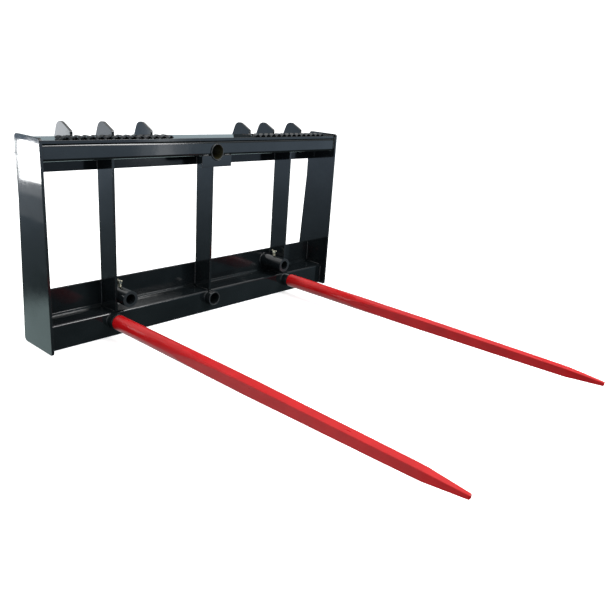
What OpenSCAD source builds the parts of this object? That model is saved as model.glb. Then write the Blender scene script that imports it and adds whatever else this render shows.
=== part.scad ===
// Hay spear frame for a skid-steer quick attach: a welded black frame with two
// long red bale spears, sleeves for stabiliser and centre spears, and step treads.
// Axes: -Y forward along the spears, +Z up, +X to the right of someone who faces the
// points of the spears. The origin lies on the underside of the lower rail, at its centre.

/* [Frame] */
// Overall width over both side plates
overall_w = 1168; // [1100:1:1250]
// Thickness of a side plate
side_t = 8; // [6:0.5:12]
// Height of the side plates
side_h = 587; // [584:1:640]
// Depth of a side plate along its upper part
side_top_depth = 132; // [126:1:140]
// Depth of a side plate at the ground
side_foot_depth = 156; // [154:1:180]
// Height at which the side plate's rear edge starts to slope back
side_bend_z = 420; // [340:1:450]

/* [Rails] */
// Depth of the lower rail, front to back
rail_d = 75; // [70:1:80]
// Depth of the upper rail, whose back face is in line with the lower rail's
top_rail_d = 94; // [88:1:96]
// How far the lower rail's front face sits behind the side plates' front edges
rail_setback = 25; // [20:1:28]
// Height of the lower rail
low_rail_h = 76; // [76:1:90]
// Height of the upper rail
top_rail_h = 45; // [38:1:50]
// Wall thickness of both rails
rail_wall = 6; // [4:0.5:8]
// Height of the top surface above the ground
top_z = 580; // [578:1:583]
// Thickness of the flat plate on the upper rail
cap_t = 9; // [8:1:10]

/* [Plates and uprights] */
// Thickness of the two rear plates
plate_t = 8; // [6:0.5:10]
// Upper edge of the lower rear plate
low_plate_top = 157; // [152:1:175]
// Lower edge of the upper rear plate
up_plate_bottom = 487; // [470:1:500]
// Thickness of the three uprights
upright_t = 8; // [6:0.5:10]
// Distance from the middle to an outer upright
upright_x = 361; // [360:0.5:365]

/* [Quick attach] */
// Thickness of the hook flange and of the pin lip
flange_t = 10; // [8:0.5:12]
// How far the hook flange reaches back and down from its root
hook_reach = 47; // [40:1:50]
// Height of the pin lip's upper edge on the lower rear plate
lip_root_z = 132; // [130:1:140]
// How far the pin lip reaches back
lip_reach = 48; // [44:1:50]
// Slope of the pin lip below the horizontal
lip_slope = 30; // [25:1:32]
// Distance from the middle to each pin slot's centre
slot_x = 435; // [430:1:450]
// Length of a pin slot, left to right
slot_w = 64; // [50:1:70]
// Width of a pin slot, front to back
slot_d = 26; // [24:1:28]

/* [Hook fins and treads] */
// Distances of the three left hook fins from the middle
fin_x_left = [457, 330, 200];
// Distances of the three right hook fins from the middle
fin_x_right = [200, 315, 457];
// Thickness of a hook fin
fin_t = 8; // [6:0.5:10]
// Height of a fin's rounded top above the top surface
fin_h = 38; // [36:1:42]
// Distance from the middle to a step tread's centre
tread_x = 342; // [335:1:345]
// Number of raised bridges in each row of a tread
tread_count = 14; // [10:1:15]
// Pitch of the raised bridges of a tread
tread_pitch = 25.4; // [24:0.2:26]
// Depth of a tread, front to back
tread_d = 40; // [38:1:42]
// Height of a tread above the top surface
tread_h = 9; // [8:0.5:10]

/* [Spears] */
// Distance from the middle to each spear's axis
spear_x = 372; // [369:1:380]
// Height of the spears' axes above the ground
spear_z = 52; // [48:1:52]
// Reach of the tips in front of the side plates' front edges
spear_reach = 1163; // [1000:1:1250]
// Diameter of the round root
spear_d = 46; // [44:0.5:46]
// Side of the square stretch where it begins
spear_side = 38; // [36:0.5:40]
// Side of the square stretch where the point begins
spear_neck = 24.5; // [20:0.5:28]
// Length of the round root
round_len = 290; // [240:1:320]
// Length over which the round root turns square
blend_len = 90; // [60:1:120]
// Length of the steep point
point_len = 100; // [80:1:120]
// Outer diameter of a spear socket
socket_d = 48; // [48:0.5:49]
// Width across flats of the spear nut
nut_af = 41; // [41:1:42]

/* [Sleeves] */
// Distance from the middle to each stabiliser sleeve's axis
stab_x = 331.5; // [326:0.5:332]
// Height of the stabiliser sleeves' axes
stab_z = 117.5; // [116:0.5:124]
// Length of a stabiliser sleeve
stab_len = 104; // [96:1:106]
// Outer diameter of a stabiliser sleeve
stab_d = 50; // [46:0.5:50]
// Bore of a stabiliser sleeve
stab_bore = 31; // [27:0.5:33]
// Height of the upper centre sleeve's axis
up_sleeve_z = 537; // [536:0.5:538]
// Outer diameter of the upper centre sleeve
up_sleeve_d = 52; // [50:0.5:54]
// Bore of the upper centre sleeve
up_sleeve_bore = 44; // [42:0.5:45]
// Height of the lower centre sleeve's axis
low_sleeve_z = 52; // [48:0.5:52]
// Outer diameter of the lower centre sleeve
low_sleeve_d = 48; // [46:0.5:48]
// Bore of the lower centre sleeve
low_sleeve_bore = 38; // [37:0.5:39]

/* [Wing screws] */
// Distance of the screws' axes behind the side plates' front edges
screw_setback = 52; // [48:1:56]
// Thread diameter
screw_d = 10; // [8:0.5:10]
// Gap between the wing head and the sleeve as the screw stands
screw_out = 11; // [11:0.5:13]
// Span over the two wings
wing_span = 27; // [26:0.5:32]
// Height of the wing head
wing_h = 11; // [11:0.5:14]

/* [Hidden] */
$fn = 64;

BLACK = "#1d1f21";
RED = "#c8202a";
ZINC = "#c9b765";
STEEL = "#8e9194";
GAP = 0.3;               // clearance round a tube in the hole that is welded to it
EPS = 1;                 // how far a cutting solid runs past the face it cuts

inner_x = overall_w / 2 - side_t;       // inner faces of the side plates
rail_front = -rail_d / 2;               // front face of the lower rail
rail_back = rail_d / 2;                 // back faces of both rails
top_front = rail_back - top_rail_d;     // front face of the upper rail
front_y = rail_front - rail_setback;    // front edges of the side plates
back_y = rail_back + plate_t;           // back faces of the rear plates
cap_bottom = top_z - cap_t;
top_rail_bottom = cap_bottom - top_rail_h;
fin_front = front_y + 70;
fin_back = front_y + 157;
screw_y = front_y + screw_setback;
stab_top = stab_z + stab_d / 2;

// Points of an arc that rounds the corner b between its neighbours a and c
function unit(v) = v / norm(v);
function corner_arc(a, b, c, r, n = 6) =
    let (u = unit(a - b), v = unit(c - b))
    let (half = acos(u * v) / 2, mid = b + unit(u + v) * r / sin(half))
    let (s = b + u * r / tan(half) - mid, e = b + v * r / tan(half) - mid)
    let (a0 = atan2(s.y, s.x), sweep = ((atan2(e.y, e.x) - a0 + 540) % 360) - 180)
    [for (k = [0:n]) mid + r * [cos(a0 + sweep * k / n), sin(a0 + sweep * k / n)]];

// The outline p with each corner rounded to its radius in r
function rounded(p, r) = let (n = len(p)) [
    for (i = [0:n - 1])
        each (r[i] > 0 ? corner_arc(p[(i + n - 1) % n], p[i], p[(i + 1) % n], r[i]) : [p[i]])
];

// An outline of [Y, Z] points given thickness along X, from x0 to x1
module along_x(p, x0, x1) {
    translate([x0, 0, 0])
        rotate([90, 0, 90])
            linear_extrude(x1 - x0)
                polygon(p);
}

// A cylinder along Y, from y0 to y1
module rod_y(d, x, z, y0, y1) {
    translate([x, y0, z])
        rotate([-90, 0, 0])
            cylinder(d = d, h = y1 - y0);
}

// A box from its lowest to its highest corner
module block(low, high) {
    translate(low)
        cube(high - low);
}

// ---- frame ----

module side_plate(side) {
    outline = rounded(
        [[front_y, 0], [front_y, side_h], [front_y + side_top_depth, side_h],
         [front_y + side_top_depth, side_bend_z], [front_y + side_foot_depth, 0]],
        [6, 9, 10, 60, 12]);
    color(BLACK)
        along_x(outline, side > 0 ? inner_x : -inner_x - side_t,
                side > 0 ? inner_x + side_t : -inner_x);
}

// A rectangular tube along X between the side plates
module rail_tube(front, z0, z1, corner) {
    outer = [[front, z0], [rail_back, z0], [rail_back, z1], [front, z1]];
    w = rail_wall;
    inner = [[front + w, z0 + w], [rail_back - w, z0 + w],
             [rail_back - w, z1 - w], [front + w, z1 - w]];
    difference() {
        along_x(rounded(outer, [corner, corner, corner, corner]), -inner_x, inner_x);
        along_x(inner, -inner_x - EPS, inner_x + EPS);
    }
}

module top_rail() {
    color(BLACK)
        difference() {
            rail_tube(top_front, top_rail_bottom, cap_bottom, 8);
            rod_y(up_sleeve_d + 2 * GAP, 0, up_sleeve_z, top_front - EPS, rail_back + EPS);
        }
}

module top_plate() {
    color(BLACK)
        block([-inner_x, top_front, cap_bottom], [inner_x, back_y, top_z]);
}

module upper_rear_plate() {
    color(BLACK)
        difference() {
            block([-inner_x, rail_back, up_plate_bottom], [inner_x, back_y, cap_bottom]);
            rod_y(up_sleeve_d + 2 * GAP, 0, up_sleeve_z, rail_back - EPS, back_y + EPS);
        }
}

module hook_flange() {
    drop = flange_t * sqrt(2);
    color(BLACK)
        along_x([[back_y, top_z], [back_y, top_z - drop],
                 [back_y + hook_reach - drop / 2, top_z - hook_reach - drop / 2],
                 [back_y + hook_reach, top_z - hook_reach]],
                -inner_x, inner_x);
}

module lower_rail() {
    color(BLACK)
        difference() {
            rail_tube(rail_front, 0, low_rail_h, 6);
            for (side = [-1, 1])
                rod_y(socket_d + 2 * GAP, side * spear_x, spear_z,
                      rail_front - EPS, rail_back + EPS);
            rod_y(low_sleeve_d + 2 * GAP, 0, low_sleeve_z, rail_front - EPS, rail_back + EPS);
        }
}

module lower_rear_plate() {
    color(BLACK)
        difference() {
            block([-inner_x, rail_back, 0], [inner_x, back_y, low_plate_top]);
            for (side = [-1, 1])
                rod_y(socket_d + 2 * GAP, side * spear_x, spear_z,
                      rail_back - EPS, back_y + EPS);
            rod_y(low_sleeve_d + 2 * GAP, 0, low_sleeve_z, rail_back - EPS, back_y + EPS);
        }
}

module pin_lip() {
    fall = lip_reach * tan(lip_slope);
    depth = flange_t / cos(lip_slope);
    slot_y = back_y + lip_reach * 0.48;
    color(BLACK)
        difference() {
            along_x([[back_y, lip_root_z], [back_y, lip_root_z - depth],
                     [back_y + lip_reach - flange_t * sin(lip_slope),
                      lip_root_z - fall - flange_t * cos(lip_slope)],
                     [back_y + lip_reach, lip_root_z - fall]],
                    -inner_x, inner_x);
            for (side = [-1, 1])
                block([side * slot_x - slot_w / 2, slot_y - slot_d / 2, lip_root_z - 60],
                      [side * slot_x + slot_w / 2, slot_y + slot_d / 2, lip_root_z]);
        }
}

module upright(x) {
    color(BLACK)
        block([x - upright_t / 2, rail_front, low_rail_h],
              [x + upright_t / 2, rail_back, top_rail_bottom]);
}

// The middle upright is notched to clear the upper centre sleeve
module upright_centre() {
    color(BLACK)
        difference() {
            upright(0);
            rod_y(up_sleeve_d + 2 * GAP, 0, up_sleeve_z, rail_front - EPS, rail_back + EPS);
        }
}

// ---- hook fins and step treads ----

module hook_fin(x) {
    outline = rounded(
        [[fin_front, top_z], [fin_front, top_z + 17], [fin_front + 43, top_z + fin_h],
         [fin_front + 68, top_z + fin_h], [fin_back, top_z - 6],
         [back_y + hook_reach - 2, top_z - hook_reach + 2], [back_y, top_z]],
        [0, 5, 30, 24, 0, 0, 0]);
    color(BLACK)
        along_x(outline, x - fin_t / 2, x + fin_t / 2);
}

// A strip with two rows of hollow half-round bridges pressed up from it
module step_tread(side) {
    count = tread_count;
    base = 2;
    y0 = top_front + 2;
    row_d = 16;
    row_step = tread_d - row_d;
    half = tread_pitch * count / 2 - 3;
    color(BLACK)
        translate([side * tread_x, y0, top_z]) {
            difference() {
                block([-half, 0, 0], [half, tread_d, base]);
                for (row = [0, 1], k = [0:count - 1])
                    block([bridge_x(k, count) - 6, row * row_step, -EPS],
                          [bridge_x(k, count) + 6, row * row_step + row_d, base + EPS]);
            }
            for (row = [0, 1], k = [0:count - 1])
                translate([bridge_x(k, count), row * row_step, 0])
                    bridge(row_d);
        }
}

function bridge_x(k, count) = (k - (count - 1) / 2) * tread_pitch;

module bridge(length) {
    difference() {
        rod_y(2 * tread_h, 0, 0, 0, length);
        rod_y(2 * tread_h - 5, 0, 0, -EPS, length + EPS);
        block([-2 * tread_h, -EPS, -2 * tread_h], [2 * tread_h, length + EPS, 0]);
    }
}

// ---- spears and their fixings ----

SHANK_D1 = 38;           // taper of the shank at the socket's mouth
SHANK_D2 = 30;           // taper of the shank at the back plate
STUD_D = 27;             // threaded end
WASHER_T = 4;
NUT_T = 22;
STUD_OUT = 34;           // how far the stud stands out behind the back plate

module spear_socket(side) {
    color(BLACK)
        difference() {
            rod_y(socket_d, side * spear_x, spear_z, front_y, back_y);
            taper_y(side * spear_x, spear_z, front_y, back_y,
                    SHANK_D1 + 2 * GAP, SHANK_D2 + 2 * GAP);
        }
}

module taper_y(x, z, y0, y1, d0, d1) {
    translate([x, y0, z])
        rotate([-90, 0, 0])
            cylinder(d1 = d0, d2 = d1, h = y1 - y0);
}

// Points round a section: power 2 is a circle, and higher powers come closer to a square
function section(half, power, n = 48) = [
    for (k = [0:n - 1])
        let (c = cos(360 * k / n), s = sin(360 * k / n))
            half * [sign(c) * pow(abs(c), 2 / power), sign(s) * pow(abs(s), 2 / power)]
];

// A closed skin over sections along Y, each [y, half width, power], from back to front
module loft(rings, x, z, n = 48) {
    last = len(rings) - 1;
    points = [for (r = rings) each [for (p = section(r[1], r[2], n)) [x + p.x, r[0], z + p.y]]];
    sides = [
        for (i = [0:last - 1], k = [0:n - 1])
            let (a = i * n + k, b = i * n + (k + 1) % n)
                each [[a, a + n, b + n], [a, b + n, b]]
    ];
    back = [for (k = [0:n - 1]) k];
    front = [for (k = [0:n - 1]) (last + 1) * n - 1 - k];
    polyhedron(points, concat([back], sides, [front]));
}

module spear(side) {
    root = front_y - GAP;
    tip_y = front_y - spear_reach;
    steps = 6;
    square_power = 9;
    blend = [
        for (k = [0:steps])
            let (t = k / steps)
                [root - round_len - blend_len * t,
                 spear_d / 2 + (spear_side - spear_d) / 2 * t,
                 2 + (square_power - 2) * t * t]
    ];
    color(RED)
        loft(concat(
                 [[back_y + STUD_OUT, STUD_D / 2 - 2, 2],
                  [back_y + STUD_OUT - 2, STUD_D / 2, 2],
                  [back_y, STUD_D / 2, 2],
                  [back_y, SHANK_D2 / 2, 2],
                  [root, SHANK_D1 / 2, 2],
                  [root, spear_d / 2 - 3, 2],
                  [root - 3, spear_d / 2, 2]],
                 blend,
                 [[tip_y + point_len, spear_neck / 2, square_power],
                  [tip_y, 5.5, 6]]),
             side * spear_x, spear_z);
}

module spear_washer(side) {
    color(ZINC)
        difference() {
            rod_y(50, side * spear_x, spear_z, back_y, back_y + WASHER_T);
            rod_y(STUD_D + 2 * GAP, side * spear_x, spear_z, back_y - EPS, back_y + 9);
        }
}

module spear_nut(side) {
    y0 = back_y + WASHER_T;
    color(ZINC)
        difference() {
            translate([side * spear_x, y0, spear_z])
                rotate([-90, 0, 0])
                    cylinder(d = nut_af / cos(30), h = NUT_T, $fn = 6);
            rod_y(STUD_D + 2 * GAP, side * spear_x, spear_z, y0 - EPS, y0 + NUT_T + EPS);
        }
}

// ---- sleeves ----

module stabiliser_sleeve(side) {
    x = side * stab_x;
    y0 = rail_back - stab_len;
    color(BLACK)
        difference() {
            rod_y(stab_d, x, stab_z, y0, rail_back);
            rod_y(stab_bore, x, stab_z, y0 - EPS, rail_back + EPS);
            translate([x, screw_y, stab_z])
                cylinder(d = screw_d + 0.15, h = stab_d);
        }
}

module through_sleeve(z, d, bore, y0) {
    color(BLACK)
        difference() {
            rod_y(d, 0, z, y0, back_y);
            rod_y(bore, 0, z, y0 - EPS, back_y + EPS);
        }
}

module centre_sleeve_upper() {
    through_sleeve(up_sleeve_z, up_sleeve_d, up_sleeve_bore, front_y + 3);
}

module centre_sleeve_lower() {
    through_sleeve(low_sleeve_z, low_sleeve_d, low_sleeve_bore, front_y);
}

module sleeve_bracket() {
    color(BLACK)
        difference() {
            block([-60, top_front - 1, top_rail_bottom - 35], [60, rail_front, top_rail_bottom]);
            rod_y(up_sleeve_d + 2 * GAP, 0, up_sleeve_z, front_y, rail_front + EPS);
        }
}

// ---- wing screws: a threaded stem, and a head with two wings pressed on it ----

STEM_GRIP = 6;           // length of the stem that the head holds

module wing_screw_stem(side) {
    tip_z = stab_z + stab_bore / 2 + 0.5;
    color(ZINC)
        translate([side * stab_x, screw_y, tip_z]) {
            cylinder(d1 = screw_d - 3, d2 = screw_d, h = 1.5);
            translate([0, 0, 1.5])
                cylinder(d = screw_d, h = stab_top + screw_out + STEM_GRIP - tip_z - 1.5);
        }
}

module wing_screw_head(side) {
    hub_d = 15;
    hub_h = 8;
    wing_t = 4;
    root = hub_d / 2 - 2;
    wing = rounded([[root, 0.5], [wing_span / 2 - 3, 2.5], [wing_span / 2, wing_h],
                    [wing_span / 2 - 9, wing_h], [root, hub_h - 1.5]],
                   [0, 3, 3, 3, 0]);
    color(ZINC)
        translate([side * stab_x, screw_y, stab_top + screw_out])
            difference() {
                union() {
                    cylinder(d = hub_d, h = hub_h);
                    for (turn = [0, 180])
                        rotate([0, 0, turn])
                            along_x(wing, -wing_t / 2, wing_t / 2);
                }
                translate([0, 0, -EPS])
                    cylinder(d = screw_d + 0.1, h = STEM_GRIP + EPS + 0.1);
            }
}

side_plate(-1);  // side_plate_left
side_plate(1);  // side_plate_right
top_rail();
top_plate();
upper_rear_plate();
hook_flange();
lower_rail();
lower_rear_plate();
pin_lip();
upright(-upright_x);  // upright_left
upright_centre();
upright(upright_x);  // upright_right
hook_fin(-fin_x_left[0]);  // hook_fin_1
hook_fin(-fin_x_left[1]);  // hook_fin_2
hook_fin(-fin_x_left[2]);  // hook_fin_3
hook_fin(fin_x_right[0]);  // hook_fin_4
hook_fin(fin_x_right[1]);  // hook_fin_5
hook_fin(fin_x_right[2]);  // hook_fin_6
step_tread(-1);  // step_tread_left
step_tread(1);  // step_tread_right
spear_socket(-1);  // spear_socket_left
spear_socket(1);  // spear_socket_right
spear(-1);  // spear_left
spear(1);  // spear_right
spear_washer(-1);  // spear_washer_left
spear_washer(1);  // spear_washer_right
spear_nut(-1);  // spear_nut_left
spear_nut(1);  // spear_nut_right
stabiliser_sleeve(-1);  // stabiliser_sleeve_left
stabiliser_sleeve(1);  // stabiliser_sleeve_right
centre_sleeve_upper();
centre_sleeve_lower();
sleeve_bracket();
wing_screw_stem(-1);  // wing_screw_stem_left
wing_screw_stem(1);  // wing_screw_stem_right
wing_screw_head(-1);  // wing_screw_head_left
wing_screw_head(1);  // wing_screw_head_right
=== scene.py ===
import math
import random

import bmesh
import bpy
from mathutils import Matrix, Vector, noise


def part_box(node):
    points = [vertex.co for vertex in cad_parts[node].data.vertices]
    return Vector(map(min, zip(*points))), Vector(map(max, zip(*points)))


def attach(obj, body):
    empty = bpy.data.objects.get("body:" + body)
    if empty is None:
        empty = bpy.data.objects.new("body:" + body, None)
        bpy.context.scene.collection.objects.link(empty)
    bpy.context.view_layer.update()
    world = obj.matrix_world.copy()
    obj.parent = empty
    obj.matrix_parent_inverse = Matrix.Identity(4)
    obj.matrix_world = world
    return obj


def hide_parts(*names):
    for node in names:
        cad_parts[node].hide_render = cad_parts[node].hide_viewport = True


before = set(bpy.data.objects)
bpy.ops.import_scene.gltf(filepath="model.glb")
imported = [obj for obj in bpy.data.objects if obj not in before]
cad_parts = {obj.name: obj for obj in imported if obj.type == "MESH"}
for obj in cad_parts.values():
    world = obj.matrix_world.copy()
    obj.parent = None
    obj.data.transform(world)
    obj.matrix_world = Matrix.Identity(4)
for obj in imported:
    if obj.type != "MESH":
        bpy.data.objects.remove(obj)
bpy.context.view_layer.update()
MM = 0.001
Z = Vector((0, 0, 1))
SIDES = (("left", -1), ("right", 1))

# ---- levels and faces of the frame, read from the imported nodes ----
plate_lo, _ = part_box("side_plate_right")
rail_lo, rail_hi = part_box("lower_rail")
_, top_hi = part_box("top_plate")
cap_lo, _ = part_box("top_rail")
_, rear_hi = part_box("lower_rear_plate")
urear_lo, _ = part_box("upper_rear_plate")
_, lip_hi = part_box("pin_lip")
hook_lo, hook_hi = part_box("hook_flange")
INNER = plate_lo.x
FRONT = plate_lo.y
RAIL_FRONT = rail_lo.y
RAIL_BACK = rail_hi.y
BACK = rear_hi.y


# ---------------------------------------------------------------- materials

class Nodes:
    """A material's node tree with short calls for the nodes used here."""

    def __init__(self, name):
        self.material = bpy.data.materials.new(name)
        self.material.use_nodes = True
        self.tree = self.material.node_tree
        self.shader = self.tree.nodes["Principled BSDF"]
        self.coords = self.tree.nodes.new("ShaderNodeTexCoord").outputs["Object"]

    def add(self, kind, **values):
        node = self.tree.nodes.new("ShaderNode" + kind)
        for key, value in values.items():
            setattr(node, key, value)
        return node

    def link(self, out, into):
        self.tree.links.new(out, into)

    def put(self, socket, value):
        self.shader.inputs[socket].default_value = value

    def stretched(self, x, y, z):
        node = self.add("Mapping")
        node.inputs["Scale"].default_value = (x, y, z)
        self.link(self.coords, node.inputs["Vector"])
        return node.outputs["Vector"]

    def noise(self, scale, detail=3.0, rough=0.5, coords=None):
        node = self.add("TexNoise")
        node.inputs["Scale"].default_value = scale
        node.inputs["Detail"].default_value = detail
        node.inputs["Roughness"].default_value = rough
        self.link(coords or self.coords, node.inputs["Vector"])
        return node.outputs["Fac"]

    def cells(self, scale, feature="F1"):
        node = self.add("TexVoronoi", feature=feature)
        node.inputs["Scale"].default_value = scale
        self.link(self.coords, node.inputs["Vector"])
        return node.outputs["Distance"]

    def spread(self, source, low, high, to_low=0.0, to_high=1.0):
        node = self.add("MapRange")
        for socket, value in (("From Min", low), ("From Max", high),
                              ("To Min", to_low), ("To Max", to_high)):
            node.inputs[socket].default_value = value
        self.link(source, node.inputs["Value"])
        return node.outputs["Result"]

    def blend(self, factor, a, b):
        node = self.add("Mix", data_type="RGBA")
        self.link(factor, node.inputs[0])
        for socket, value in ((node.inputs[6], a), (node.inputs[7], b)):
            if isinstance(value, tuple):
                socket.default_value = (*value, 1)
            else:
                self.link(value, socket)
        return node.outputs[2]

    def math(self, operation, a, b):
        node = self.add("Math", operation=operation)
        for socket, value in zip(node.inputs, (a, b)):
            if isinstance(value, (int, float)):
                socket.default_value = value
            else:
                self.link(value, socket)
        return node.outputs[0]

    def bump(self, height, distance, under=None, strength=1.0):
        node = self.add("Bump")
        node.inputs["Strength"].default_value = strength
        node.inputs["Distance"].default_value = distance
        self.link(height, node.inputs["Height"])
        if under is not None:
            self.link(under, node.inputs["Normal"])
        return node.outputs["Normal"]

    def edge(self):
        node = self.add("Attribute", attribute_name="edge")
        return node.outputs["Fac"]

    def done(self, colour=None, roughness=None, normal=None):
        for socket, value in (("Base Color", colour), ("Roughness", roughness),
                              ("Normal", normal)):
            if value is not None:
                self.link(value, self.shader.inputs[socket])
        return self.material


def black_enamel(name, peel=1.0, shine=0.45, matt=0.0):
    """Glossy black enamel: orange peel, gentle plate waviness, faint smudges, thin edges.

    peel scales the orange peel, shine is the specular level, and matt adds roughness.
    """
    n = Nodes(name)
    tone = n.blend(n.spread(n.noise(9, 4), 0.35, 0.7),
                   (0.0042, 0.0058, 0.0068), (0.0080, 0.0105, 0.0118))
    specks = n.spread(n.noise(1900, 1), 0.70, 0.78)
    tone = n.blend(n.math("MULTIPLY", specks, 0.3), tone, (0.06, 0.06, 0.056))
    worn = n.math("MULTIPLY", n.edge(), n.spread(n.noise(140, 3), 0.42, 0.62, 0.0, 0.6))
    tone = n.blend(worn, tone, (0.030, 0.026, 0.022))
    smudge = n.math("ADD", n.spread(n.noise(14, 5, 0.6), 0.38, 0.72, 0.05 + matt, 0.15 + matt),
                    n.math("MULTIPLY", worn, 0.25))
    waves = n.bump(n.noise(7, 1.5), 0.0006)
    flow = n.bump(n.noise(38, 2), 0.00008, waves)
    peel_bump = n.bump(n.noise(430, 2), 0.000018 * peel, flow)
    n.put("Specular IOR Level", shine)
    return n.done(tone, smudge, peel_bump)


def red_enamel(name):
    """Glossy red enamel over a forged bar: runs, shallow hammer flats and orange peel."""
    n = Nodes(name)
    tone = n.blend(n.spread(n.noise(16, 4), 0.35, 0.68),
                   (0.39, 0.0025, 0.004), (0.47, 0.0040, 0.006))
    tone = n.blend(n.math("MULTIPLY", n.spread(n.noise(1500, 1), 0.70, 0.80), 0.4),
                   tone, (0.24, 0.003, 0.004))
    along = n.stretched(1, 0.22, 1)
    smudge = n.spread(n.noise(22, 5, 0.6, along), 0.35, 0.72, 0.26, 0.42)
    forged = n.bump(n.noise(26, 3, 0.5, along), 0.0009)
    hammer = n.bump(n.cells(46, "SMOOTH_F1"), 0.00014, forged)
    peel = n.bump(n.noise(420, 2), 0.00003, hammer)
    n.put("Specular IOR Level", 0.32)
    return n.done(tone, smudge, peel)


def yellow_zinc(name):
    """Yellow-passivated zinc: metallic, with drifting straw, pink and green tints."""
    n = Nodes(name)
    straw = n.blend(n.spread(n.noise(95, 3), 0.35, 0.65),
                    (0.44, 0.42, 0.31), (0.50, 0.49, 0.40))
    tint = n.blend(n.spread(n.noise(150, 2), 0.52, 0.70), straw, (0.42, 0.37, 0.31))
    tint = n.blend(n.spread(n.noise(120, 2, 0.6), 0.60, 0.75), tint, (0.38, 0.42, 0.32))
    matt = n.spread(n.noise(260, 4, 0.6), 0.3, 0.7, 0.24, 0.42)
    grain = n.bump(n.noise(900, 3), 0.00003)
    n.put("Metallic", 1.0)
    return n.done(tint, matt, grain)


def bare_steel(name):
    """Drawn tube inside: dark mill scale with a thin brown film of oil and rust."""
    n = Nodes(name)
    drawn = n.stretched(1, 0.08, 1)
    scale = n.blend(n.spread(n.noise(120, 4, 0.6, drawn), 0.35, 0.7),
                    (0.036, 0.034, 0.014), (0.070, 0.064, 0.030))
    rust = n.blend(n.spread(n.noise(60, 5, 0.65), 0.55, 0.72), scale, (0.075, 0.050, 0.020))
    matt = n.spread(n.noise(180, 4), 0.3, 0.7, 0.38, 0.62)
    grain = n.bump(n.noise(300, 4, 0.6, drawn), 0.0001)
    n.put("Metallic", 0.55)
    return n.done(rust, matt, grain)


def studio_white(name, glow):
    """Matt white paper, lit a little from within so that its tone stays even."""
    n = Nodes(name)
    tone = n.blend(n.spread(n.noise(1.3, 2), 0.3, 0.7), (0.95, 0.95, 0.95), (0.97, 0.97, 0.97))
    n.put("Roughness", 0.7)
    n.put("Specular IOR Level", 0.1)
    n.put("Emission Color", (1, 1, 1, 1))
    n.put("Emission Strength", glow)
    return n.done(tone, None, n.bump(n.noise(60, 3), 0.0001))


BLACK = black_enamel("black_enamel")
BEAD_BLACK = black_enamel("black_enamel_on_weld", 1.6)
# A duller copy of the enamel for the rear plates: a lower specular level and a little rougher,
# so these plates read darker than the rails.
DULL_BLACK = black_enamel("black_enamel_on_plate", 1.3, 0.22, 0.02)
CUT_BLACK = black_enamel("black_enamel_on_cut_ends", 2.5, 0.6, 0.30)
RED = red_enamel("red_enamel")
ZINC = yellow_zinc("yellow_zinc")
STEEL = bare_steel("bare_steel")


# ---------------------------------------------------------------- mesh tools

def finished(name, bm, materials, body="frame", replaces=(), smooth=35):
    """An object from a bmesh: outward normals, smooth but for its sharp edges, on its body."""
    bmesh.ops.recalc_face_normals(bm, faces=bm.faces)
    for face in bm.faces:
        face.smooth = True
    mesh = bpy.data.meshes.new(name)
    bm.to_mesh(mesh)
    bm.free()
    for material in materials:
        mesh.materials.append(material)
    mesh.set_sharp_from_angle(angle=math.radians(smooth))
    obj = bpy.data.objects.new(name, mesh)
    bpy.context.scene.collection.objects.link(obj)
    even = obj.modifiers.new("even_normals", "WEIGHTED_NORMAL")
    even.keep_sharp = True
    even.weight = 90
    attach(obj, body)
    if replaces:
        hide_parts(*replaces)
    return obj


def dressed(node, width=1.0, segments=3, bore=None, paint=None):
    """A CAD node with its sharp edges rounded.

    bore = (z, radius, bare) is for a sleeve: its cut front end gets rougher paint, and its
    inner wall is left unpainted when bare is true.
    """
    bm = bmesh.new()
    bm.from_mesh(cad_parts[node].data)
    bmesh.ops.remove_doubles(bm, verts=bm.verts, dist=2e-5)
    bmesh.ops.dissolve_limit(bm, angle_limit=math.radians(0.6),
                             verts=bm.verts, edges=bm.edges)
    edge = bm.faces.layers.float.new("edge")
    sharp = [e for e in bm.edges
             if e.is_manifold and e.calc_face_angle() > math.radians(38)]
    made = bmesh.ops.bevel(bm, geom=sharp, offset=width * MM, offset_type="OFFSET",
                           segments=segments, profile=0.5, affect="EDGES",
                           clamp_overlap=True)
    for face in made["faces"]:
        face[edge] = 1.0
    if bore:
        z, radius, bare = bore
        bm.normal_update()
        for face in bm.faces:
            if face.normal.y < -0.4:
                face.material_index = 2
            elif bare and abs(face.normal.y) < 0.5 and all(
                    math.hypot(v.co.x, v.co.z - z) < radius + 0.0002 for v in face.verts):
                face.material_index = 1
    return finished(node + "_finish", bm, [paint or BLACK, STEEL, CUT_BLACK], "frame",
                    (node,))


def grid(bm, rings, closed=True):
    """Faces over rings of vertices; a closed ring joins its last point to its first."""
    rows = [[bm.verts.new(p) for p in ring] for ring in rings]
    count = len(rows[0])
    for low, high in zip(rows, rows[1:]):
        for k in range(count if closed else count - 1):
            m = (k + 1) % count
            bm.faces.new((low[k], low[m], high[m], high[k]))
    return rows


def capped(bm, rings):
    rows = grid(bm, rings)
    bm.faces.new(rows[0])
    bm.faces.new(rows[-1][::-1])
    return rows


def turned(bm, profile, origin, count=64):
    """Turns a closed profile of (radius, height) mm pairs round the Y axis through origin."""
    rings = []
    for k in range(count):
        c, s = math.cos(2 * math.pi * k / count), math.sin(2 * math.pi * k / count)
        rings.append([origin + Vector((r * c, h, r * s)) * MM for r, h in profile])
    rows = [[bm.verts.new(p) for p in ring] for ring in rings]
    n = len(profile)
    for a in range(count):
        b = (a + 1) % count
        for k in range(n):
            m = (k + 1) % n
            bm.faces.new((rows[a][k], rows[b][k], rows[b][m], rows[a][m]))


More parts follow.
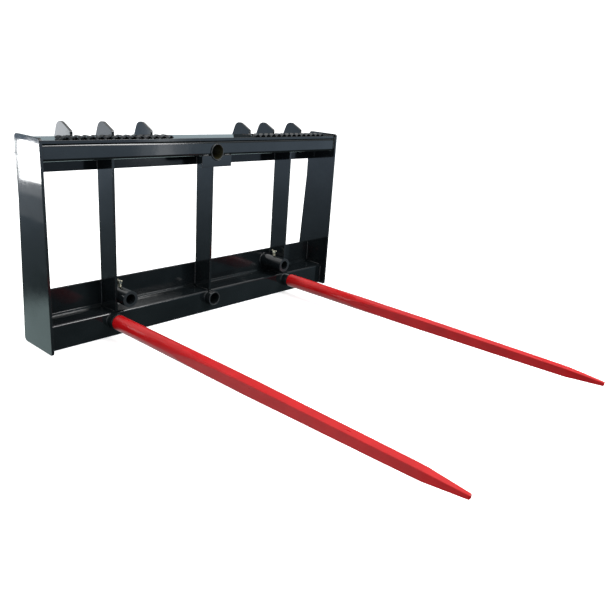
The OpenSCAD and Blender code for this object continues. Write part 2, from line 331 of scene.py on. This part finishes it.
def extruded(bm, outline, direction):
    """A closed solid from a planar outline of points pushed along direction."""
    low = [bm.verts.new(p) for p in outline]
    high = [bm.verts.new(p + direction) for p in outline]
    count = len(low)
    bm.faces.new(low[::-1])
    bm.faces.new(high)
    for k in range(count):
        m = (k + 1) % count
        bm.faces.new((low[k], low[m], high[m], high[k]))


def smooth_step(t):
    t = min(1.0, max(0.0, t))
    return t * t * (3 - 2 * t)


def between(table, s):
    """Linear interpolation in a list of rows whose first number rises."""
    for a, b in zip(table, table[1:]):
        if s <= b[0]:
            t = (s - a[0]) / (b[0] - a[0])
            return [p + (q - p) * t for p, q in zip(a[1:], b[1:])]
    return list(table[-1][1:])


# ---------------------------------------------------------------- weld beads

class Beads:
    """Several weld beads in one mesh: each is a run of overlapping ripples."""

    def __init__(self, name, seed):
        self.name = name
        self.bm = bmesh.new()
        self.rng = random.Random(seed)

    def run(self, points, radius=3.2, out=None, pitch=3.0, closed=False):
        """A bead along points (mm); out is the direction from the corner to the weld's face."""
        path = [Vector(p) for p in points]
        if closed:
            path.append(path[0])
        lengths = [(b - a).length for a, b in zip(path, path[1:])]
        total = sum(lengths)
        steps = max(8, round(total / pitch * 4))
        sides = 10
        phase = self.rng.random()
        rings = []
        for i in range(steps if closed else steps + 1):
            s = total * i / steps
            k, left = 0, s
            while k < len(lengths) - 1 and left > lengths[k]:
                left -= lengths[k]
                k += 1
            t = left / lengths[k]
            here = path[k].lerp(path[k + 1], t)
            tangent = (path[k + 1] - path[k]).normalized()
            outward = out(here) if callable(out) else Vector(out)
            outward = (outward - tangent * outward.dot(tangent)).normalized()
            across = tangent.cross(outward)
            saw = (s / pitch + phase) % 1.0
            size = radius * (0.90 + 0.16 * math.sin(math.pi * min(1, saw * 1.25)))
            size *= 1 + 0.10 * noise.noise(here * 0.09 + Vector((phase * 40, 0, 0)))
            if not closed:
                fade = min(s, total - s) / (radius * 1.6)
                size *= math.sqrt(max(0.02, 1 - (1 - min(1, fade)) ** 2))
            ring = []
            for j in range(sides):
                a = 2 * math.pi * j / sides
                side, rise = math.cos(a), math.sin(a)
                lag = -tangent * (0.9 * max(0, rise) ** 2)
                ring.append((here + (outward * rise * 0.78 + across * side) * size + lag) * MM)
            rings.append(ring)
        if closed:
            rings.append(rings[0])
            rows = [[self.bm.verts.new(p) for p in ring] for ring in rings[:-1]]
            rows.append(rows[0])
            for low, high in zip(rows, rows[1:]):
                for k in range(sides):
                    m = (k + 1) % sides
                    self.bm.faces.new((low[k], low[m], high[m], high[k]))
        else:
            capped(self.bm, rings)

    def ring(self, x, y, z, r, radius=3.2, out_y=-1, start=0, sweep=360):
        """A bead round a tube along Y, where it meets a face at y."""
        closed = sweep >= 360
        count = 48
        points = []
        for k in range(count if closed else count + 1):
            a = math.radians(start + sweep * k / count)
            points.append((x + r * math.cos(a), y, z + r * math.sin(a)))

        def out(p):
            return Vector((p.x - x, 0, p.z - z)).normalized() + Vector((0, out_y, 0))

        self.run(points, radius, out, closed=closed)

    def stitches(self, a, b, out, radius=3.2, length=70, gap=80):
        """A broken run of beads from a to b."""
        a, b = Vector(a), Vector(b)
        total = (b - a).length
        count = max(1, round((total + gap) / (length + gap)))
        step = (total - length) / max(1, count - 1) if count > 1 else 0
        for k in range(count):
            s = step * k
            self.run([a.lerp(b, s / total), a.lerp(b, min(1, (s + length) / total))],
                     radius, out)

    def done(self):
        return finished(self.name, self.bm, [BEAD_BLACK], "frame", smooth=80)


def mm(v):
    return v * 1000


def corner_fillet(bm, x0, x1, y, z, seed):
    """A long machine-laid weld with a steep face and a narrow lip, on the rear plate's foot."""
    rings = []
    count = max(6, round((x1 - x0) / 3))
    for i in range(count + 1):
        x = x0 + (x1 - x0) * i / count
        end = min(1.0, min(x - x0, x1 - x) / 8 + 0.25)
        leg = end * (1 + 0.05 * noise.noise(Vector((x * 0.06, seed, 0))))
        form = ((0.6, -0.4), (0.6, 8.9), (-0.5, 8.9), (-1.7, 7.8), (-2.0, 7.0), (-2.3, 2.0),
                (-3.0, 0.9), (-4.0, 0.5), (-4.6, -0.4))
        rings.append([Vector((x, y + u * leg, z + v * leg)) * MM for u, v in form])
    capped(bm, rings)


def weld_everything():
    inner, rf, rb, back = mm(INNER), mm(RAIL_FRONT), mm(RAIL_BACK), mm(BACK)
    rail_top, rear_top = mm(rail_hi.z), mm(rear_hi.z)
    top_low, top_z, uf = mm(cap_lo.z), mm(top_hi.z), mm(cap_lo.y)
    urear_low = mm(urear_lo.z)

    ends = Beads("weld_beads_side_plates", 11)
    for s in (-1, 1):
        x = s * inner
        ends.run([(x, rf, 6), (x, rf, rail_top - 8)], 3.4, (-s, -1, 0))
        ends.run([(x, rf + 8, rail_top), (x, rb - 2, rail_top)], 3.0, (-s, 0, 1))
        ends.run([(x, rb, rail_top + 4), (x, rb, rear_top - 3)], 3.0, (-s, -1, 0))
        ends.run([(x, uf, top_low + 6), (x, uf, top_z - 4)], 3.8, (-s, -1, 0), 4.2)
        ends.run([(x, uf + 8, top_low), (x, rb - 6, top_low)], 3.0, (-s, 0, -1))
        ends.run([(x, rb, urear_low + 3), (x, rb, top_low - 3)], 3.0, (-s, -1, 0))
        ends.run([(x, uf + 5, top_z), (x, rb, top_z)], 2.6, (-s, 0, 1))
        ends.run([(x, back, 8), (x, back, mm(lip_hi.z) - 45)], 3.0, (-s, 1, 0))
        ends.run([(x, back, mm(lip_hi.z) + 6), (x, back, rear_top - 3)], 3.0, (-s, 1, 0))
        ends.run([(x, back, urear_low + 3), (x, back, top_z - 60)], 3.0, (-s, 1, 0))
    ends.done()

    posts = Beads("weld_beads_uprights", 12)
    for node in ("upright_left", "upright_centre", "upright_right"):
        lo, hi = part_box(node)
        for x, s in ((mm(lo.x), -1), (mm(hi.x), 1)):
            posts.run([(x, rf + 8, rail_top), (x, rb - 4, rail_top)], 2.8, (s, 0, 1))
            posts.run([(x, rb, rail_top + 3), (x, rb, rear_top - 2)], 2.6, (s, -1, 0))
            posts.run([(x, rb, urear_low + 2), (x, rb, top_low - 3)], 2.6, (s, -1, 0))
            if node != "upright_centre":
                posts.run([(x, rf + 2, top_low), (x, rb - 4, top_low)], 2.8, (s, 0, -1))
    posts.done()

    seams = Beads("weld_beads_plates", 13)
    side_post = mm(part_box("upright_right")[0].x)
    posts_x = [-inner, -side_post, 0, side_post, inner]
    for k, (a, b) in enumerate(zip(posts_x, posts_x[1:])):
        corner_fillet(seams.bm, a + 6, b - 6, rb, rail_top, k)
    seams.stitches((-inner + 40, back, top_z - 15), (inner - 40, back, top_z - 15),
                   (0, 1, -0.6), 3.0, 60, 110)
    seams.stitches((-inner + 30, back, mm(lip_hi.z)), (inner - 30, back, mm(lip_hi.z)),
                   (0, 0.6, 1), 3.2, 70, 90)
    seams.stitches((-inner + 50, rb, top_low), (inner - 50, rb, top_low),
                   (0, -1, -1), 2.8, 50, 100)
    seams.done()

    rings = Beads("weld_beads_sleeves", 14)
    for side, s in SIDES:
        lo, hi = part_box("stabiliser_sleeve_" + side)
        x, z, r = mm((lo.x + hi.x) / 2), mm((lo.z + hi.z) / 2), mm(hi.x - lo.x) / 2
        rings.ring(x, rb, z, r, 3.4)
        post = abs(mm(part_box("upright_" + side)[0 if s > 0 else 1].x)) - 2.4
        for y0, y1 in ((rf + 8, rf + 30), (rb - 34, rb - 8)):
            rings.run([(s * post, y0, z + 14), (s * post, y1, z + 14)], 3.0, (-s, 0, 2))
        lo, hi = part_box("spear_socket_" + side)
        x, z, r = mm((lo.x + hi.x) / 2), mm((lo.z + hi.z) / 2), mm(hi.x - lo.x) / 2
        rings.ring(x, rf, z, r, 2.6, start=118, sweep=304)
        rings.ring(x, back, z, r - 0.5, 1.6, out_y=1)
    lo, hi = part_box("centre_sleeve_lower")
    z, r = mm((lo.z + hi.z) / 2), mm(hi.x - lo.x) / 2
    rings.ring(0, rf, z, r, 2.8, start=116, sweep=308)
    rings.ring(0, back, z, r, 3.0, out_y=1)
    lo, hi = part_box("centre_sleeve_upper")
    z, r = mm((lo.z + hi.z) / 2), mm(hi.x - lo.x) / 2
    rings.ring(0, back, z, r, 3.0, out_y=1)
    lo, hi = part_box("sleeve_bracket")
    edge = mm(hi.x)
    for s in (-1, 1):
        rings.run([(s * (edge - 4), uf + 2, top_low + 1), (s * (r + 5), uf + 2, top_low + 1)],
                  3.0, (0, -1, 0))
        rings.run([(s * edge, mm(lo.y) + 3, top_low), (s * edge, rf - 2, top_low)],
                  2.6, (s, 0, -1))
    rings.done()

    fins = Beads("weld_beads_fins", 15)
    for k in range(1, 7):
        lo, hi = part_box(f"hook_fin_{k}")
        for x, s in ((mm(lo.x), -1), (mm(hi.x), 1)):
            fins.run([(x, mm(lo.y) + 2, top_z), (x, back - 2, top_z)], 2.6, (s, 0, 1))
            fins.run([(x, back + 4, top_z - 3), (x, mm(hook_hi.y) - 6, mm(hook_lo.z) + 15)],
                     2.6, (s, 0.6, 0.8))
    for side, s in SIDES:
        lo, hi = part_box("step_tread_" + side)
        x0, x1, y0, y1 = mm(lo.x), mm(hi.x), mm(lo.y), mm(hi.y)
        for x in (x0, x1):
            o = -1 if x == x0 else 1
            fins.run([(x, y0 + 6, top_z + 1), (x, y0 + 18, top_z + 1)], 2.6, (o, 0, 1))
        for k in range(4):
            x = x0 + 26.7 + (x1 - x0 - 66) * k / 3
            fins.run([(x, y1, top_z + 1), (x + 13, y1, top_z + 1)], 2.4, (0, 1, 1))
    fins.done()


# ---------------------------------------------------------------- frame pieces

def step_tread(side):
    """A strip with two rows of bridges pressed up from it: one wavy sheet in each row."""
    node = "step_tread_" + side
    lo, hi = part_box(node)
    x0, x1, y0, y1, z0 = mm(lo.x), mm(hi.x), mm(lo.y), mm(hi.y), mm(lo.z)
    rise = mm(hi.z - lo.z)
    pitch, sheet, count = 25.4, 2.2, 14
    first = (x0 + x1) / 2 - (count - 1) / 2 * pitch

    def height(x):
        k = min(count - 1, max(0, round((x - first) / pitch)))
        u = abs(x - first - k * pitch)
        if u >= 10.6:
            return 0.0
        arch = math.sqrt(max(0.0, 1 - (u / 9.6) ** 2)) if u < 9.6 else 0.0
        foot = 1 - smooth_step((u - 8.0) / 2.6)
        return (rise - sheet) * max(arch * 0.97, 0.28 * foot)

    step = 0.85
    samples = [x0 + step * i for i in range(int((x1 - x0) / step) + 1)] + [x1]
    top, under = [], []
    for x in samples:
        h = height(x)
        top.append((x, h + sheet))
        under.append((x, h if h < 0.05 else h + sheet * 0.06))
    bm = bmesh.new()
    row = 16.2
    for a, b in ((y0, y0 + row), (y1 - row, y1)):
        levels = ((a, 0.35), (a + 0.35, 0), (b - 0.35, 0), (b, 0.35))
        rings = []
        for y, inset in levels:
            ring = [Vector((x, y, z0 + z - inset)) * MM for x, z in top]
            ring += [Vector((x, y, z0 + z + inset)) * MM for x, z in reversed(under)]
            rings.append(ring)
        rows = grid(bm, rings)
        n = len(samples)
        for end, flip in ((rows[0], False), (rows[-1], True)):
            for k in range(n - 1):
                quad = (end[k], end[k + 1], end[2 * n - 2 - k], end[2 * n - 1 - k])
                bm.faces.new(quad if flip else quad[::-1])
    flat = [Vector((x0 + 0.2, y0 + row - 0.4, z0)), Vector((x1 - 0.2, y0 + row - 0.4, z0)),
            Vector((x1 - 0.2, y1 - row + 0.4, z0)), Vector((x0 + 0.2, y1 - row + 0.4, z0))]
    extruded(bm, [p * MM for p in flat], Vector((0, 0, (sheet - 0.05) * MM)))
    finished(node + "_finish", bm, [BLACK], "frame", (node,), smooth=42)


BAR = 23.0
SPEAR_FORM = (
    (0.0, 20.6), (1.2, 22.2), (3.5, 23.2), (285, 23.2), (300, 22.4), (320, 21.2), (345, 20.1),
    (380, 19.0), (480, 17.7), (600, 16.5), (720, 15.4), (840, 14.5), (960, 13.5), (1040, 12.6),
    (1063, 12.2), (1068, 11.8), (1158, 5.6), (1161.5, 5.2), (1163, 4.4),
)


def bar_section(half, radius):
    """Angles and radii round a bar of that radius with four flats forged at +-half."""
    corner = min(radius, half * math.sqrt(2) - 0.7)
    flat = math.degrees(math.acos(min(1.0, half / corner)))
    flat = max(3.0, flat)
    form = []
    for quarter in range(4):
        for k in range(8):
            form.append(quarter * 90 - flat + 2 * flat * k / 8)
        for k in range(6):
            form.append(quarter * 90 + flat + (90 - 2 * flat) * k / 6)
    made = []
    for a in form:
        c, d = math.cos(math.radians(a)), math.sin(math.radians(a))
        made.append((c, d, min(corner, half / max(abs(c), abs(d)))))
    return made


def spear(side):
    """A forged bar: round root, four flats that grow into a square, steep square point."""
    node = "spear_" + side
    lo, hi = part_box(node)
    x, z = mm((lo.x + hi.x) / 2), mm((lo.z + hi.z) / 2)
    root, tip = mm(FRONT) - 0.3, mm(lo.y)
    reach = root - tip
    stations = [0, 0.6, 1.2, 2.2, 3.5] + [6 + 6.0 * k for k in range(176)]
    stations += [1063 + 5.0 * k for k in range(20)] + [1160, 1161.5, 1162.3, 1163]
    rings = [[Vector((x + r * c, y, z + r * d)) * MM for c, d, _ in bar_section(24, 24)]
             for y, r in ((mm(BACK), 15.0), (root, 19.0))]
    for s in stations:
        half = between(SPEAR_FORM, s)[0]
        radius = min(BAR, half) if s < 5 else BAR
        y = root - s * reach / 1163
        limit = (1 - smooth_step((s - 1080) / 60)) * smooth_step(s / 12)
        ring = []
        for c, d, r in bar_section(half, radius):
            p = Vector((r * c, y * 0.35, r * d))
            depth = 0.20 * noise.noise(p * 0.055 + Vector((x, 3, 1)))
            depth += 0.11 * noise.noise(p * 0.17 + Vector((1, x, 7)))
            r += (depth - 0.12) * limit
            ring.append(Vector((x + r * c, y, z + r * d)) * MM)
        rings.append(ring)
    bm = bmesh.new()
    capped(bm, rings)
    finished(node + "_bar", bm, [RED], "frame", (node,), smooth=32)

    stud = bmesh.new()
    threaded(stud, Vector((x, mm(BACK) - 0.2, z)), 13.5, mm(hi.y) - mm(BACK) + 0.2, 3.0,
             "y", 36)
    finished(node + "_stud", stud, [ZINC], "frame", smooth=60)


def threaded(bm, origin, radius, length, pitch, axis="z", count=28):
    """A rod with a real helical thread, chamfered at its ends; sizes in mm."""
    depth = 0.58 * pitch
    per_turn = 8
    steps = max(4, round(length / pitch * per_turn))
    rings = []
    for i in range(steps + 1):
        h = length * i / steps
        end = min(h, length - h)
        cut = max(0.0, depth * 1.25 - end)
        ring = []
        for k in range(count):
            a = 2 * math.pi * k / count
            u = (h / pitch - k / count) % 1.0
            wave = abs(2 * u - 1)
            wave = smooth_step((wave - 0.12) / 0.76)
            r = min(radius - depth * (1 - wave), radius - cut)
            offset = (r * math.cos(a), h, r * math.sin(a)) if axis == "y" else (
                r * math.cos(a), r * math.sin(a), h)
            ring.append((origin + Vector(offset)) * MM)
        rings.append(ring)
    capped(bm, rings)


def hex_nut(node):
    """A hexagon nut with chamfered corners and a countersunk hole."""
    lo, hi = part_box(node)
    flats = mm(min(hi.x - lo.x, hi.z - lo.z))
    height = mm(hi.y - lo.y)
    x, z, y = mm((lo.x + hi.x) / 2), mm((lo.z + hi.z) / 2), mm(lo.y)
    turn = 0 if hi.x - lo.x > hi.z - lo.z else math.pi / 6
    seat, hole = flats / 2 * 0.97, 13.8
    count = 96

    def outline(a):
        b = (a - turn) % (math.pi / 3) - math.pi / 6
        return flats / 2 / math.cos(b)

    def ring(form):
        made = []
        for k in range(count):
            a = 2 * math.pi * k / count
            r, h = form(a)
            made.append(Vector((x + r * math.cos(a), y + h, z + r * math.sin(a))) * MM)
        return made

    fall = math.tan(math.radians(30))
    rings = [
        ring(lambda a: (hole, 1.4)),
        ring(lambda a: (hole + 1.5, 0.0)),
        ring(lambda a: (seat, 0.0)),
        ring(lambda a: (outline(a), max(0.12, (outline(a) - seat) * fall))),
        ring(lambda a: (outline(a), height - max(0.12, (outline(a) - seat) * fall))),
        ring(lambda a: (seat, height)),
        ring(lambda a: (hole + 1.5, height)),
        ring(lambda a: (hole, height - 1.4)),
    ]
    bm = bmesh.new()
    rows = grid(bm, rings)
    for k in range(count):
        m = (k + 1) % count
        bm.faces.new((rows[-1][k], rows[-1][m], rows[0][m], rows[0][k]))
    finished(node + "_finish", bm, [ZINC], "frame", (node,), smooth=24)


def washer(node):
    lo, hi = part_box(node)
    r, t = mm(hi.x - lo.x) / 2, mm(hi.y - lo.y)
    profile = [(14.0, 0), (r - 0.5, 0), (r, 0.5), (r, t - 0.9), (r - 0.3, t - 0.3),
               (r - 0.9, t), (14.6, t), (14.0, t - 0.6)]
    bm = bmesh.new()
    turned(bm, profile, Vector(((lo.x + hi.x) / 2, lo.y, (lo.z + hi.z) / 2)))
    finished(node + "_finish", bm, [ZINC], "frame", (node,), smooth=28)


def wing_stem(side):
    node = "wing_screw_stem_" + side
    lo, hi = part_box(node)
    bm = bmesh.new()
    threaded(bm, Vector((mm((lo.x + hi.x) / 2), mm((lo.y + hi.y) / 2), mm(lo.z))),
             mm(hi.x - lo.x) / 2, mm(hi.z - lo.z), 1.5, "z", 28)
    finished(node + "_finish", bm, [ZINC], "wing_stem_" + side, (node,),
             smooth=70)


def wing_head(side):
    """A cast wing head: hub and two flared wings fused with soft fillets."""
    node = "wing_screw_head_" + side
    lo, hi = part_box(node)
    centre = Vector((mm((lo.x + hi.x) / 2), mm((lo.y + hi.y) / 2), mm(lo.z)))
    top = mm(hi.z - lo.z)
    span = mm(hi.y - lo.y) / 2
    bm = bmesh.new()
    hub = [(0.0, 0.0), (6.9, 0.0), (7.4, 0.6), (6.6, 5.2), (6.0, 7.6), (5.0, 8.4), (0.0, 8.6)]
    rings = [[(centre + Vector((r * math.cos(2 * math.pi * k / 40),
                                r * math.sin(2 * math.pi * k / 40), h))) * MM
              for k in range(40)] for r, h in hub[1:-1]]
    capped(bm, rings)
    for s in (-1, 1):
        stations = []
        for i in range(15):
            t = i / 14
            y = 2.0 + (span - 2.0 - 0.7) * t
            low = 1.0 + 5.4 * t ** 1.7
            high = 7.4 + (top - 0.4 - 7.4) * smooth_step(t * 1.25)
            if t > 0.86:
                round_off = (t - 0.86) / 0.14
                low += 2.0 * round_off ** 2
                high -= 2.2 * round_off ** 2
            thick = 2.3 + 0.5 * (1 - t) + 0.35 * smooth_step((t - 0.55) / 0.4)
            stations.append((y, low, high, thick))
        rings = []
        for y, low, high, thick in stations:
            ring = []
            mid, half = (low + high) / 2, (high - low) / 2
            for k in range(20):
                a = 2 * math.pi * k / 20
                c, d = math.cos(a), math.sin(a)
                u = math.copysign(abs(c) ** 0.6, c) * thick
                v = math.copysign(abs(d) ** 0.75, d) * half
                ring.append((centre + Vector((u, s * y, mid + v))) * MM)
            rings.append(ring)
        capped(bm, rings)
    obj = finished(node + "_cast", bm, [ZINC], "wing_head_" + side, (node,),
                   smooth=180)
    fused = obj.modifiers.new("fused", "REMESH")
    fused.mode = "VOXEL"
    fused.voxel_size = 0.0004
    fused.use_smooth_shade = True
    soft = obj.modifiers.new("fillets", "SMOOTH")
    soft.factor = 0.5
    soft.iterations = 7
    obj.modifiers.move(0, 2)


def pieces():
    for node in ("side_plate_left", "side_plate_right"):
        dressed(node, 1.0)
    for node in ("top_plate", "pin_lip", "hook_flange", "upright_left", "upright_centre",
                 "upright_right"):
        dressed(node, 0.8)
    for node in ("upper_rear_plate", "lower_rear_plate"):
        dressed(node, 0.8, paint=DULL_BLACK)
    for node in ("top_rail", "lower_rail"):
        dressed(node, 0.8, 2)
    for k in range(1, 7):
        dressed(f"hook_fin_{k}", 0.9)
    dressed("sleeve_bracket", 1.0)
    for node in ("stabiliser_sleeve_left", "stabiliser_sleeve_right",
                 "centre_sleeve_upper", "centre_sleeve_lower"):
        lo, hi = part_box(node)
        dressed(node, 1.3, 3, ((lo.z + hi.z) / 2, 0.0220, node == "centre_sleeve_upper"))
    for side, _ in SIDES:
        dressed("spear_socket_" + side, 0.9)
        step_tread(side)
        spear(side)
        washer("spear_washer_" + side)
        hex_nut("spear_nut_" + side)
        wing_stem(side)
        wing_head(side)
    weld_everything()


# ---------------------------------------------------------------- studio

# Rows of the surroundings: sine of the elevation, then the colour seen in that direction.
SKY = (
    (-0.55, (0.035, 0.042, 0.042)), (-0.31, (0.050, 0.070, 0.074)),
    (-0.24, (0.105, 0.135, 0.155)), (-0.17, (0.22, 0.28, 0.34)),
    (-0.10, (0.44, 0.56, 0.70)), (-0.04, (0.40, 0.50, 0.62)), (0.0, (0.28, 0.34, 0.38)),
    (0.16, (0.21, 0.26, 0.27)), (0.22, (0.16, 0.17, 0.175)),
    (0.50, (0.20, 0.205, 0.21)), (0.60, (0.75, 0.75, 0.75)),
)

# Softboxes: name, place, target, width, height, radiance. The last five stand close beside the
# left side plate and the fins, to give them their bright reflections.
SOFTBOXES = (
    ("front", (0.75, -1.9, 2.35), (-0.1, -0.1, 0.5), 1.6, 1.4, 4.5),
    ("front_strip", (1.03, -1.72, 1.75), (-0.18, -0.06, 0.57), 0.42, 1.8, 14),
    ("front_low", (0.99, -1.66, 0.42), (-0.18, -0.06, 0.56), 0.10, 0.30, 1.3),
    ("front_low_wide", (1.0, -1.68, 0.40), (-0.18, -0.06, 0.56), 0.30, 0.40, 0.7),
    ("left_low", (-2.6, -1.3, 0.9), (0, -0.7, 0.05), 1.8, 1.4, 2.3),
    ("left_strip", (-0.87, 0.575, 0.4375), (0, 0.575, 0.4375), 0.165, 0.131, 26),
    ("left_glow", (-0.875, 0.59, 0.39), (0, 0.59, 0.39), 0.21, 0.14, 0.6),
    ("left_fade", (-0.88, 0.60, 0.35), (0, 0.60, 0.35), 0.23, 0.24, 0.25),
    ("fin_strip", (-0.66, 0.43, 0.55), (0, 0.43, 0.55), 0.14, 0.10, 4.0),
    ("fin_glow", (-0.66, 0.59, 0.55), (0, 0.59, 0.55), 0.14, 0.10, 1.5),
)


def studio():
    def staged(name, bm, white):
        mesh = bpy.data.meshes.new(name)
        bm.to_mesh(mesh)
        bm.free()
        mesh.materials.append(white)
        obj = bpy.data.objects.new(name, mesh)
        obj.visible_glossy = False
        obj.visible_diffuse = False
        bpy.context.scene.collection.objects.link(obj)
        return obj

    reach, steps = 26.0, 26
    bm = bmesh.new()
    grid(bm, [[Vector((-reach + 2 * reach * i / steps, -reach + 2 * reach * j / steps, -0.0004))
               for i in range(steps + 1)] for j in range(steps + 1)], False)
    staged("floor", bm, studio_white("studio_floor", 0.5))

    bm = bmesh.new()
    grid(bm, [[Vector((24 * math.cos(math.pi * k / 36), 24 * math.sin(math.pi * k / 36), z))
               for k in range(72)] for z in (-1, 4, 9)])
    staged("backdrop", bm, studio_white("studio_backdrop", 1.0)).visible_shadow = False

    world = bpy.data.worlds.new("studio")
    world.use_nodes = True
    tree = world.node_tree
    coords = tree.nodes.new("ShaderNodeTexCoord")
    split = tree.nodes.new("ShaderNodeSeparateXYZ")
    height = tree.nodes.new("ShaderNodeMapRange")
    height.inputs["From Min"].default_value = -1.0
    ramp = tree.nodes.new("ShaderNodeValToRGB")
    tree.links.new(coords.outputs["Generated"], split.inputs["Vector"])
    tree.links.new(split.outputs["Z"], height.inputs["Value"])
    tree.links.new(height.outputs["Result"], ramp.inputs["Fac"])
    behind = tree.nodes.new("ShaderNodeMapRange")
    behind.inputs["From Min"].default_value = 0.15
    behind.inputs["From Max"].default_value = 0.35
    low = tree.nodes.new("ShaderNodeMapRange")
    low.inputs["From Min"].default_value = -0.305
    low.inputs["From Max"].default_value = -0.33
    both = tree.nodes.new("ShaderNodeMath")
    both.operation = "MULTIPLY"
    meadow = tree.nodes.new("ShaderNodeMix")
    meadow.data_type = "RGBA"
    meadow.inputs[7].default_value = (0.46, 0.60, 0.60, 1)
    tree.links.new(split.outputs["Y"], behind.inputs["Value"])
    tree.links.new(split.outputs["Z"], low.inputs["Value"])
    tree.links.new(behind.outputs["Result"], both.inputs[0])
    tree.links.new(low.outputs["Result"], both.inputs[1])
    tree.links.new(both.outputs[0], meadow.inputs[0])
    tree.links.new(ramp.outputs["Color"], meadow.inputs[6])
    tree.links.new(meadow.outputs[2], tree.nodes["Background"].inputs["Color"])
    stops = ramp.color_ramp.elements
    for k, (z, colour) in enumerate(SKY):
        stop = stops[k] if k < 2 else stops.new(0.5 + z / 2)
        stop.position = 0.5 + z / 2
        stop.color = (*colour, 1)
    tree.nodes["Background"].inputs["Strength"].default_value = 1.8
    bpy.context.scene.world = world

    def softbox(name, place, target, width, height, radiance):
        data = bpy.data.lights.new(name, "AREA")
        data.shape = "RECTANGLE"
        data.size, data.size_y = width, height
        data.energy = radiance * math.pi * width * height
        light = bpy.data.objects.new(name, data)
        light.location = place
        light.rotation_mode = "QUATERNION"
        aim = Vector(target) - Vector(place)
        light.rotation_quaternion = aim.to_track_quat("-Z", "Y")
        light.visible_camera = False
        bpy.context.scene.collection.objects.link(light)

    for light in SOFTBOXES:
        softbox(*light)

    view = bpy.context.scene.view_settings
    view.view_transform = "Standard"
    view.look = "None"


EYE = (-1.38448, -1.65075, 0.76282)
YAW, PITCH, ROLL = 0.86443, 0.32965, 0.07408
FOCAL_PIXELS, PICTURE_PIXELS, SENSOR_MM = 651.82, 612, 36.0


def camera():
    """The photograph's viewpoint: turned right by yaw, down by pitch, then rolled."""
    forward = Vector((math.sin(YAW) * math.cos(PITCH), math.cos(YAW) * math.cos(PITCH),
                      -math.sin(PITCH)))
    level = forward.cross(Z).normalized()
    upright = level.cross(forward)
    right = math.cos(ROLL) * level + math.sin(ROLL) * upright
    up = -math.sin(ROLL) * level + math.cos(ROLL) * upright
    data = bpy.data.cameras.new("camera")
    data.sensor_width = SENSOR_MM
    data.lens = FOCAL_PIXELS / PICTURE_PIXELS * SENSOR_MM
    data.clip_start, data.clip_end = 0.05, 80
    cam = bpy.data.objects.new("camera", data)
    turn = Matrix((right, up, -forward)).transposed().to_4x4()
    cam.matrix_world = Matrix.Translation(EYE) @ turn
    bpy.context.scene.collection.objects.link(cam)
    bpy.context.scene.camera = cam


camera()
studio()
pieces()
